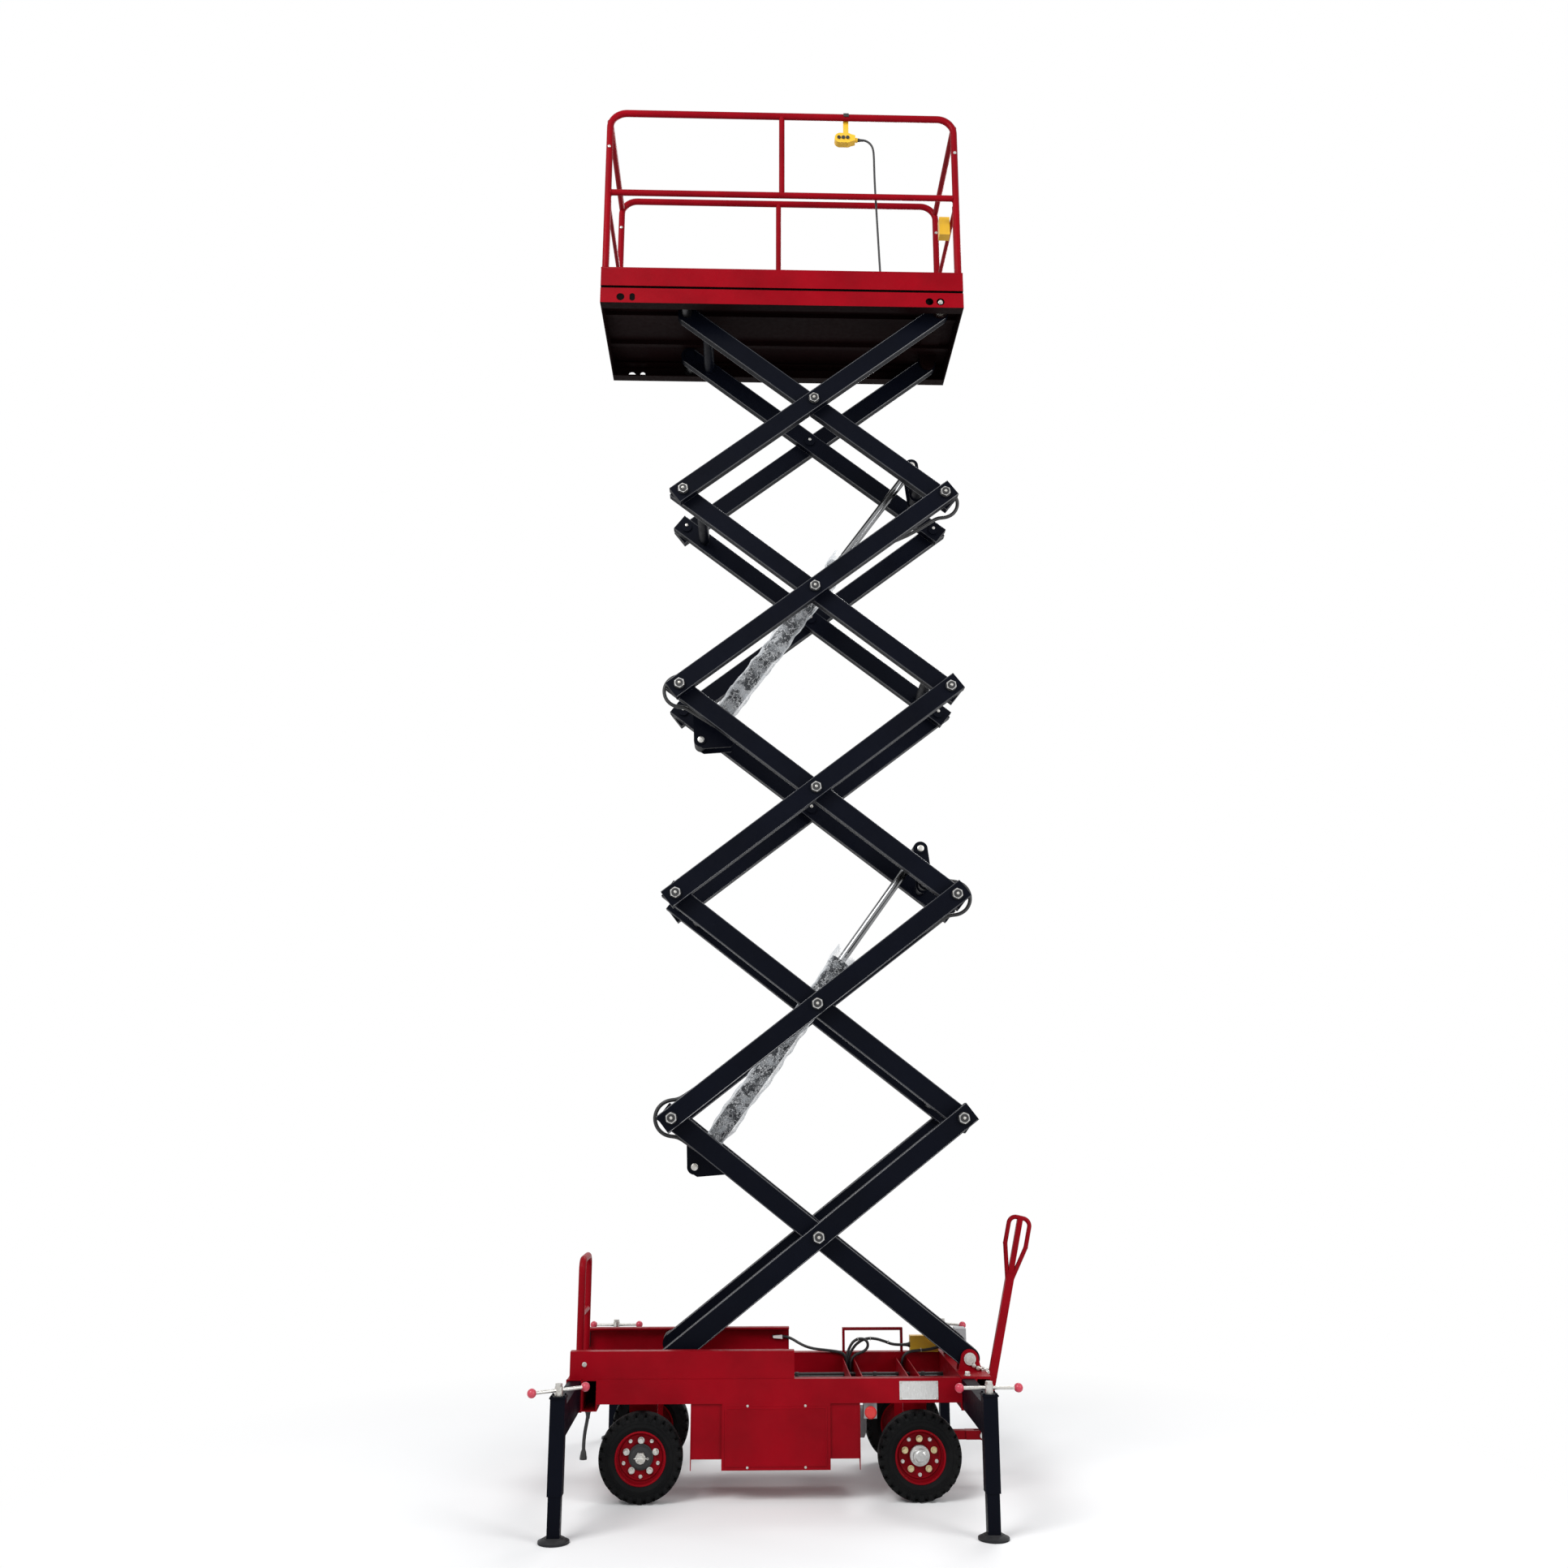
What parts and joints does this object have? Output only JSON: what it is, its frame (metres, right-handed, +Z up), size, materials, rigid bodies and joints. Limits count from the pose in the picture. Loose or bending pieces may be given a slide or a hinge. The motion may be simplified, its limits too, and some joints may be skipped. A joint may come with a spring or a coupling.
{
  "type": "mobile scissor lift platform",
  "caption": "Towable scissor lift with a railed work platform on crossed arms, hydraulic cylinders, a wheeled base, steering drawbar and pull-out outrigger jacks.",
  "frame": {"origin": "on the ground under the middle of the bounding box", "axes": "+X towards the drawbar end, +Y away from the cabinet side, +Z up"},
  "size_m": [2.3272, 2.1014, 7.3073],
  "materials": {
    "red_paint": "gloss",
    "red_plastic": "gloss",
    "navy_paint": "satin",
    "dark_steel": "matte",
    "bright_steel": "satin",
    "chromed_rod": "polished",
    "tyre_rubber": "matte",
    "yellow_plastic": "satin",
    "grey_paint": "satin",
    "grey_plastic": "satin",
    "black_rubber": "matte"
  },
  "bodies": {
    "chassis": {"base_frame": "red_paint", "roller_tracks": "red_paint", "push_hoop": "red_paint", "cabinet_shell": "red_paint", "cabinet_door": "red_paint", "power_unit": "grey_paint", "rear_axle": "red_paint", "front_axle": "red_paint", "base_pendant": "yellow_plastic", "switch_boxes": "grey_plastic", "power_lead": "black_rubber", "base_cables": "black_rubber"},
    "stop_button": {"stop_button": "red_plastic"},
    "inner_frame_1": {"inner_frame_1": "navy_paint", "joint_hose_1": "black_rubber"},
    "outer_arms_1": {"outer_arms_1": "navy_paint"},
    "inner_frame_2": {"inner_frame_2": "navy_paint"},
    "outer_arms_2": {"outer_arms_2": "navy_paint", "joint_hose_2": "black_rubber"},
    "inner_frame_3": {"inner_frame_3": "navy_paint", "joint_hose_3": "black_rubber"},
    "outer_arms_3": {"outer_arms_3": "navy_paint"},
    "inner_frame_4": {"inner_frame_4": "navy_paint"},
    "outer_arms_4": {"outer_arms_4": "navy_paint", "joint_hose_4": "black_rubber"},
    "inner_frame_5": {"inner_frame_5": "navy_paint"},
    "outer_arms_5": {"outer_arms_5": "navy_paint"},
    "cylinder_barrel_lower": {"cylinder_barrel_lower": "navy_paint"},
    "cylinder_barrel_upper": {"cylinder_barrel_upper": "navy_paint"},
    "cylinder_rod_lower": {"cylinder_rod_lower": "chromed_rod"},
    "cylinder_rod_upper": {"cylinder_rod_upper": "chromed_rod"},
    "base_rollers": {"base_rollers": "bright_steel"},
    "platform_rollers": {"platform_rollers": "bright_steel"},
    "entry_gate": {"entry_gate": "red_paint"},
    "rear_wheel_near": {"rear_wheel_near": "tyre_rubber"},
    "rear_wheel_far": {"rear_wheel_far": "tyre_rubber"},
    "front_wheel_near": {"front_wheel_near": "tyre_rubber"},
    "front_wheel_far": {"front_wheel_far": "tyre_rubber"},
    "knuckle_near": {"knuckle_near": "bright_steel"},
    "knuckle_far": {"knuckle_far": "bright_steel"},
    "tie_rod": {"tie_rod": "bright_steel"},
    "drawbar_yoke": {"drawbar_yoke": "red_paint"},
    "drawbar": {"drawbar": "red_paint"},
    "outrigger_beam_1": {"outrigger_beam_1": "navy_paint"},
    "outrigger_foot_1": {"outrigger_foot_1": "dark_steel"},
    "jack_handle_1": {"jack_handle_1": "bright_steel"},
    "outrigger_beam_2": {"outrigger_beam_2": "navy_paint"},
    "outrigger_foot_2": {"outrigger_foot_2": "dark_steel"},
    "jack_handle_2": {"jack_handle_2": "bright_steel"},
    "outrigger_beam_3": {"outrigger_beam_3": "navy_paint"},
    "outrigger_foot_3": {"outrigger_foot_3": "dark_steel"},
    "jack_handle_3": {"jack_handle_3": "bright_steel"},
    "outrigger_beam_4": {"outrigger_beam_4": "navy_paint"},
    "outrigger_foot_4": {"outrigger_foot_4": "dark_steel"},
    "jack_handle_4": {"jack_handle_4": "bright_steel"},
    "platform": {"deck_frame": "red_paint", "deck_plate": "grey_paint", "guard_rails": "red_paint", "handset": "yellow_plastic", "handset_cable": "black_rubber"}
  },
  "joints": [
    {"name": "lift", "type": "hinge", "parent": "chassis", "child": "inner_frame_1", "pos_m": [0.7948, 0, 0.585], "axis": [0, 1, 0], "range_deg": [-33.25, 0]},
    {"name": "outer_arms_1_pivot", "type": "hinge", "parent": "inner_frame_1", "child": "outer_arms_1", "pos_m": [0.08318, 0, 1.136], "axis": [0, 1, 0], "range_deg": [0, 66.5]},
    {"name": "outer_arms_2_pivot", "type": "hinge", "parent": "inner_frame_1", "child": "outer_arms_2", "pos_m": [-0.62844, 0, 1.68699], "axis": [0, 1, 0], "range_deg": [0, 66.5], "deforming": ["joint_hose_1"]},
    {"name": "inner_frame_2_pivot", "type": "hinge", "parent": "outer_arms_2", "child": "inner_frame_2", "pos_m": [0.08318, 0, 2.23799], "axis": [0, 1, 0], "range_deg": [-66.5, 0]},
    {"name": "inner_frame_3_pivot", "type": "hinge", "parent": "outer_arms_2", "child": "inner_frame_3", "pos_m": [0.7948, 0, 2.78898], "axis": [0, 1, 0], "range_deg": [-66.5, 0], "deforming": ["joint_hose_2"]},
    {"name": "outer_arms_3_pivot", "type": "hinge", "parent": "inner_frame_3", "child": "outer_arms_3", "pos_m": [0.08318, 0, 3.33998], "axis": [0, 1, 0], "range_deg": [0, 66.5]},
    {"name": "outer_arms_4_pivot", "type": "hinge", "parent": "inner_frame_3", "child": "outer_arms_4", "pos_m": [-0.62844, 0, 3.89097], "axis": [0, 1, 0], "range_deg": [0, 66.5], "deforming": ["joint_hose_3"]},
    {"name": "inner_frame_4_pivot", "type": "hinge", "parent": "outer_arms_4", "child": "inner_frame_4", "pos_m": [0.08318, 0, 4.44197], "axis": [0, 1, 0], "range_deg": [-66.5, 0]},
    {"name": "inner_frame_5_pivot", "type": "hinge", "parent": "outer_arms_4", "child": "inner_frame_5", "pos_m": [0.7948, 0, 4.99296], "axis": [0, 1, 0], "range_deg": [-66.5, 0], "deforming": ["joint_hose_4"]},
    {"name": "outer_arms_5_pivot", "type": "hinge", "parent": "inner_frame_5", "child": "outer_arms_5", "pos_m": [0.08318, 0, 5.54396], "axis": [0, 1, 0], "range_deg": [0, 66.5]},
    {"name": "platform_pivot", "type": "hinge", "parent": "outer_arms_5", "child": "platform", "pos_m": [0.7948, 0, 6.09496], "axis": [0, 1, 0], "range_deg": [-33.25, 0]},
    {"name": "cylinder_lower_tilt", "type": "hinge", "parent": "inner_frame_1", "child": "cylinder_barrel_lower", "pos_m": [-0.52005, 0, 1.4513], "axis": [0, 1, 0], "range_deg": [0, 69.2]},
    {"name": "cylinder_lower_stroke", "type": "slide", "parent": "cylinder_barrel_lower", "child": "cylinder_rod_lower", "axis": [0.5844, 0, 0.8115], "range_m": [-0.629, 0]},
    {"name": "cylinder_upper_tilt", "type": "hinge", "parent": "inner_frame_3", "child": "cylinder_barrel_upper", "pos_m": [-0.52005, 0, 3.65528], "axis": [0, 1, 0], "range_deg": [0, 69.2]},
    {"name": "cylinder_upper_stroke", "type": "slide", "parent": "cylinder_barrel_upper", "child": "cylinder_rod_upper", "axis": [0.5844, 0, 0.8115], "range_m": [-0.629, 0]},
    {"name": "base_roller_spin", "type": "hinge", "parent": "outer_arms_1", "child": "base_rollers", "pos_m": [-0.62844, 0, 0.585], "axis": [0, 1, 0], "continuous": true},
    {"name": "platform_roller_spin", "type": "hinge", "parent": "inner_frame_5", "child": "platform_rollers", "pos_m": [-0.62844, 0, 6.09496], "axis": [0, 1, 0], "continuous": true},
    {"name": "rear_wheel_near_spin", "type": "hinge", "parent": "chassis", "child": "rear_wheel_near", "pos_m": [-0.7342, -0.355, 0.1905], "axis": [0, 1, 0], "continuous": true},
    {"name": "front_wheel_near_spin", "type": "hinge", "parent": "knuckle_near", "child": "front_wheel_near", "pos_m": [0.5358, -0.355, 0.1905], "axis": [0, 1, 0], "continuous": true},
    {"name": "rear_wheel_far_spin", "type": "hinge", "parent": "chassis", "child": "rear_wheel_far", "pos_m": [-0.7342, 0.355, 0.1905], "axis": [0, 1, 0], "continuous": true},
    {"name": "front_wheel_far_spin", "type": "hinge", "parent": "knuckle_far", "child": "front_wheel_far", "pos_m": [0.5358, 0.355, 0.1905], "axis": [0, 1, 0], "continuous": true},
    {"name": "steer", "type": "hinge", "parent": "chassis", "child": "drawbar_yoke", "pos_m": [0.6068, 0, 0.205], "axis": [0, 0, 1], "range_deg": [-20, 20]},
    {"name": "knuckle_near_turn", "type": "hinge", "parent": "chassis", "child": "knuckle_near", "pos_m": [0.5358, -0.262, 0.1905], "axis": [0, 0, 1], "range_deg": [-20, 20]},
    {"name": "knuckle_far_turn", "type": "hinge", "parent": "chassis", "child": "knuckle_far", "pos_m": [0.5358, 0.262, 0.1905], "axis": [0, 0, 1], "range_deg": [-20, 20]},
    {"name": "tie_rod_turn", "type": "hinge", "parent": "drawbar_yoke", "child": "tie_rod", "pos_m": [0.7168, 0, 0.158], "axis": [0, 0, 1], "range_deg": [-20, 20]},
    {"name": "drawbar_fold", "type": "hinge", "parent": "drawbar_yoke", "child": "drawbar", "pos_m": [0.8838, 0, 0.205], "axis": [0, 1, 0], "range_deg": [0, 72]},
    {"name": "outrigger_1_slide", "type": "slide", "parent": "chassis", "child": "outrigger_beam_1", "axis": [0, 1, 0], "range_m": [0, 0.4]},
    {"name": "jack_1_turn", "type": "hinge", "parent": "outrigger_beam_1", "child": "jack_handle_1", "pos_m": [-1.0422, -0.96, 0.58], "axis": [0, 0, 1], "range_deg": [0, 5400]},
    {"name": "jack_1_foot", "type": "slide", "parent": "outrigger_beam_1", "child": "outrigger_foot_1", "axis": [0, 0, 1], "range_m": [0, 0.1501]},
    {"name": "outrigger_2_slide", "type": "slide", "parent": "chassis", "child": "outrigger_beam_2", "axis": [0, 1, 0], "range_m": [0, 0.4]},
    {"name": "jack_2_turn", "type": "hinge", "parent": "outrigger_beam_2", "child": "jack_handle_2", "pos_m": [0.7638, -0.96, 0.58], "axis": [0, 0, 1], "range_deg": [0, 5400]},
    {"name": "jack_2_foot", "type": "slide", "parent": "outrigger_beam_2", "child": "outrigger_foot_2", "axis": [0, 0, 1], "range_m": [0, 0.1501]},
    {"name": "outrigger_3_slide", "type": "slide", "parent": "chassis", "child": "outrigger_beam_3", "axis": [0, -1, 0], "range_m": [0, 0.4]},
    {"name": "jack_3_turn", "type": "hinge", "parent": "outrigger_beam_3", "child": "jack_handle_3", "pos_m": [-0.9722, 0.96, 0.58], "axis": [0, 0, 1], "range_deg": [0, 5400]},
    {"name": "jack_3_foot", "type": "slide", "parent": "outrigger_beam_3", "child": "outrigger_foot_3", "axis": [0, 0, 1], "range_m": [0, 0.1501]},
    {"name": "outrigger_4_slide", "type": "slide", "parent": "chassis", "child": "outrigger_beam_4", "axis": [0, -1, 0], "range_m": [0, 0.4]},
    {"name": "jack_4_turn", "type": "hinge", "parent": "outrigger_beam_4", "child": "jack_handle_4", "pos_m": [0.8338, 0.96, 0.58], "axis": [0, 0, 1], "range_deg": [0, 5400]},
    {"name": "jack_4_foot", "type": "slide", "parent": "outrigger_beam_4", "child": "outrigger_foot_4", "axis": [0, 0, 1], "range_m": [0, 0.1501]},
    {"name": "stop_press", "type": "slide", "parent": "chassis", "child": "stop_button", "axis": [0, 1, 0], "range_m": [0, 0.006], "stiffness_N_per_m": 2000},
    {"name": "gate_swing", "type": "hinge", "parent": "platform", "child": "entry_gate", "pos_m": [-1.0772, 0.345, 6.50996], "axis": [0, 0, 1], "range_deg": [0, 90]}
  ],
  "couplings": [
    {"joint": "outer_arms_1_pivot", "follows": "lift", "ratio": -2},
    {"joint": "outer_arms_2_pivot", "follows": "lift", "ratio": -2},
    {"joint": "inner_frame_2_pivot", "follows": "lift", "ratio": 2},
    {"joint": "inner_frame_3_pivot", "follows": "lift", "ratio": 2},
    {"joint": "outer_arms_3_pivot", "follows": "lift", "ratio": -2},
    {"joint": "outer_arms_4_pivot", "follows": "lift", "ratio": -2},
    {"joint": "inner_frame_4_pivot", "follows": "lift", "ratio": 2},
    {"joint": "inner_frame_5_pivot", "follows": "lift", "ratio": 2},
    {"joint": "outer_arms_5_pivot", "follows": "lift", "ratio": -2},
    {"joint": "platform_pivot", "follows": "lift", "ratio": 1},
    {"joint": "cylinder_lower_tilt", "follows": "lift", "ratio": -2.0777},
    {"joint": "cylinder_lower_stroke", "follows": "lift", "m_per_rad": 1.0827},
    {"joint": "cylinder_upper_tilt", "follows": "lift", "ratio": -2.0777},
    {"joint": "cylinder_upper_stroke", "follows": "lift", "m_per_rad": 1.0827},
    {"joint": "knuckle_near_turn", "follows": "steer", "ratio": 1},
    {"joint": "knuckle_far_turn", "follows": "steer", "ratio": 1},
    {"joint": "tie_rod_turn", "follows": "steer", "ratio": -1},
    {"joint": "jack_1_foot", "follows": "jack_1_turn", "m_per_rad": 0.0015915},
    {"joint": "jack_2_foot", "follows": "jack_2_turn", "m_per_rad": 0.0015915},
    {"joint": "jack_3_foot", "follows": "jack_3_turn", "m_per_rad": 0.0015915},
    {"joint": "jack_4_foot", "follows": "jack_4_turn", "m_per_rad": 0.0015915}
  ]
}
